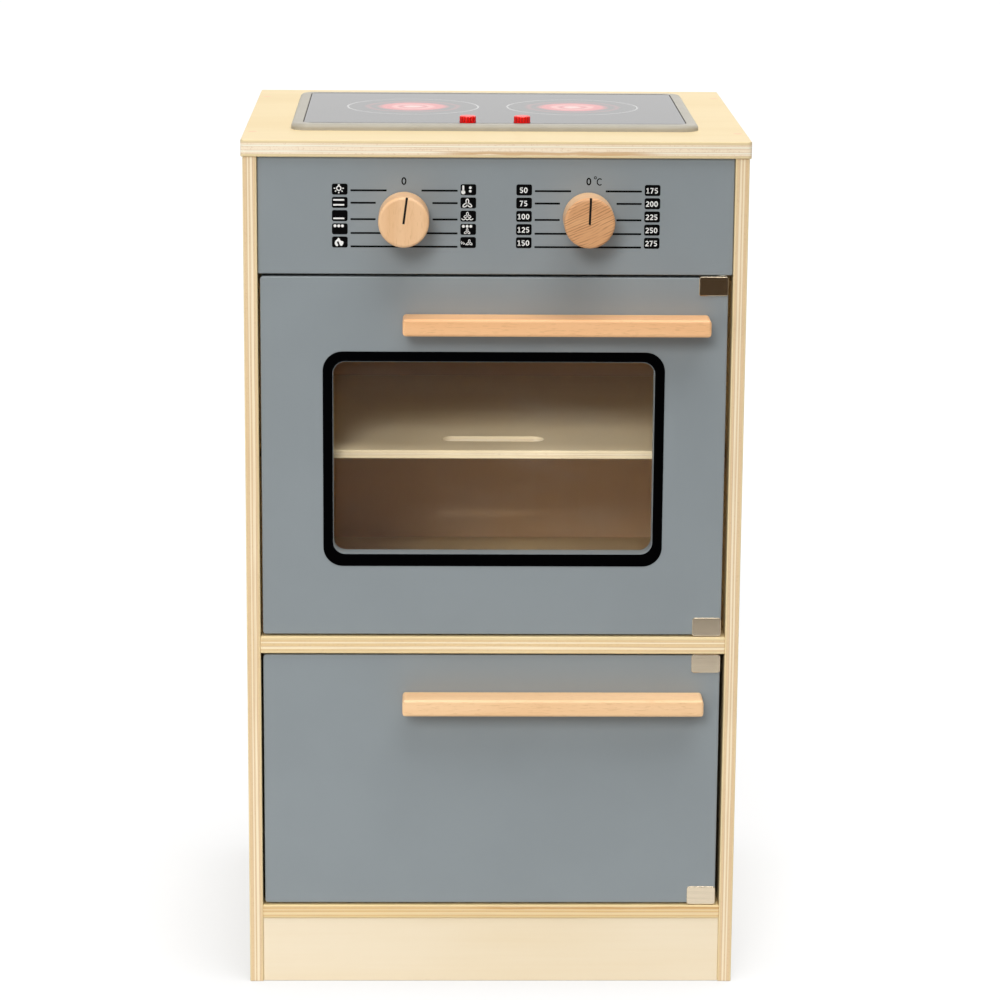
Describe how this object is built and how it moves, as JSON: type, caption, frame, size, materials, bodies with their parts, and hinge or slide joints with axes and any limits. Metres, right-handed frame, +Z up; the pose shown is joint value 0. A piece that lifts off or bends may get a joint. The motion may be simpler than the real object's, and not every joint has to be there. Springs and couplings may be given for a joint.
{
  "type": "toy oven",
  "caption": "Plywood toy oven: a window door above a plain door on pivot hinges, turned dial knobs, a loose oven shelf and a battery hob with push buttons.",
  "frame": {"origin": "on the floor, under the middle of the whole oven's bounding box", "axes": "+Z up, the front with its doors and knobs looks along -Y, +X to the right as seen from the front, where the hinges are"},
  "size_m": [0.3446, 0.3262, 0.6087],
  "materials": {
    "plywood": "birch plywood, clear lacquer, pale veneer faces and banded edges",
    "beech": "solid beech, clear lacquer",
    "painted_board": "blue-grey paint, satin",
    "black_print": "black screen-printed film",
    "acrylic": "clear acrylic sheet",
    "nickel": "nickel-plated folded steel",
    "steel": "zinc-plated steel",
    "nylon": "natural nylon",
    "hob_rim": "warm grey moulded plastic, satin",
    "hob_cover": "dark glossy panel with two printed rings, which mirrors its pale surroundings",
    "black_plastic": "black moulded plastic",
    "red_plastic": "red moulded plastic",
    "circuit_board": "green laminate",
    "red_lamp": "red lamp bodies",
    "battery": "sleeved dry cells",
    "felt": "grey felt"
  },
  "bodies": {
    "carcass": {"side_left": "plywood", "side_right": "plywood", "worktop": "plywood", "fascia": "painted_board", "oven_ceiling": "plywood", "middle_shelf": "plywood", "bottom_shelf": "plywood", "plinth": "plywood", "back_panel": "plywood", "shelf_runners": "beech", "oven_shelf": "plywood", "worktop_screws": "steel", "worktop_plugs": "beech", "side_screws": "steel", "side_plugs": "beech", "runner_screws": "steel", "back_screws": "steel", "hinge_bushes": "nylon", "door_catches": "nylon", "catch_magnets": "steel", "catch_screws": "steel", "knob_washers": "felt", "hob_frame": "hob_rim", "hob_cover": "hob_cover", "hob_base": "black_plastic", "hob_screws": "steel", "left_button_spring": "steel", "right_button_spring": "steel", "circuit_board": "circuit_board", "button_switches": "black_plastic", "ring_lamps": "red_lamp", "speaker": "black_plastic", "battery_cells": "battery", "battery_contacts": "steel", "battery_cover": "black_plastic"},
    "upper_door": {"upper_door": "painted_board", "window_border": "black_print", "window_pane": "acrylic", "pane_screws": "steel", "upper_handle": "beech", "upper_handle_screws": "steel", "upper_hinge_clips": "nickel", "upper_hinge_pins": "steel", "upper_hinge_screws": "steel", "upper_strike": "steel"},
    "lower_door": {"lower_door": "painted_board", "lower_handle": "beech", "lower_handle_screws": "steel", "lower_hinge_clips": "nickel", "lower_hinge_pins": "steel", "lower_hinge_screws": "steel", "lower_strike": "steel"},
    "left_knob": {"left_knob": "beech", "left_knob_dowel": "beech", "left_knob_retainer": "steel"},
    "right_knob": {"right_knob": "beech", "right_knob_dowel": "beech", "right_knob_retainer": "steel"},
    "left_button": {"left_button": "red_plastic"},
    "right_button": {"right_button": "red_plastic"}
  },
  "joints": [
    {"name": "upper_door_swing", "type": "hinge", "parent": "carcass", "child": "upper_door", "pos_m": [0.1543, -0.12965, 0.38115], "axis": [0, 0, 1], "range_deg": [0, 90]},
    {"name": "lower_door_swing", "type": "hinge", "parent": "carcass", "child": "lower_door", "pos_m": [0.1543, -0.12965, 0.1495], "axis": [0, 0, 1], "range_deg": [0, 90]},
    {"name": "left_knob_turn", "type": "hinge", "parent": "carcass", "child": "left_knob", "pos_m": [-0.06225, -0.13415, 0.5482], "axis": [0, 1, 0], "continuous": true},
    {"name": "right_knob_turn", "type": "hinge", "parent": "carcass", "child": "right_knob", "pos_m": [0.06225, -0.13415, 0.5482], "axis": [0, 1, 0], "continuous": true},
    {"name": "left_button_press", "type": "slide", "parent": "carcass", "child": "left_button", "axis": [0, 0, -1], "range_m": [0, 0.0015], "stiffness_N_per_m": 300, "springref_m": -0.002, "deforming": ["left_button_spring"]},
    {"name": "right_button_press", "type": "slide", "parent": "carcass", "child": "right_button", "axis": [0, 0, -1], "range_m": [0, 0.0015], "stiffness_N_per_m": 300, "springref_m": -0.002, "deforming": ["right_button_spring"]}
  ]
}
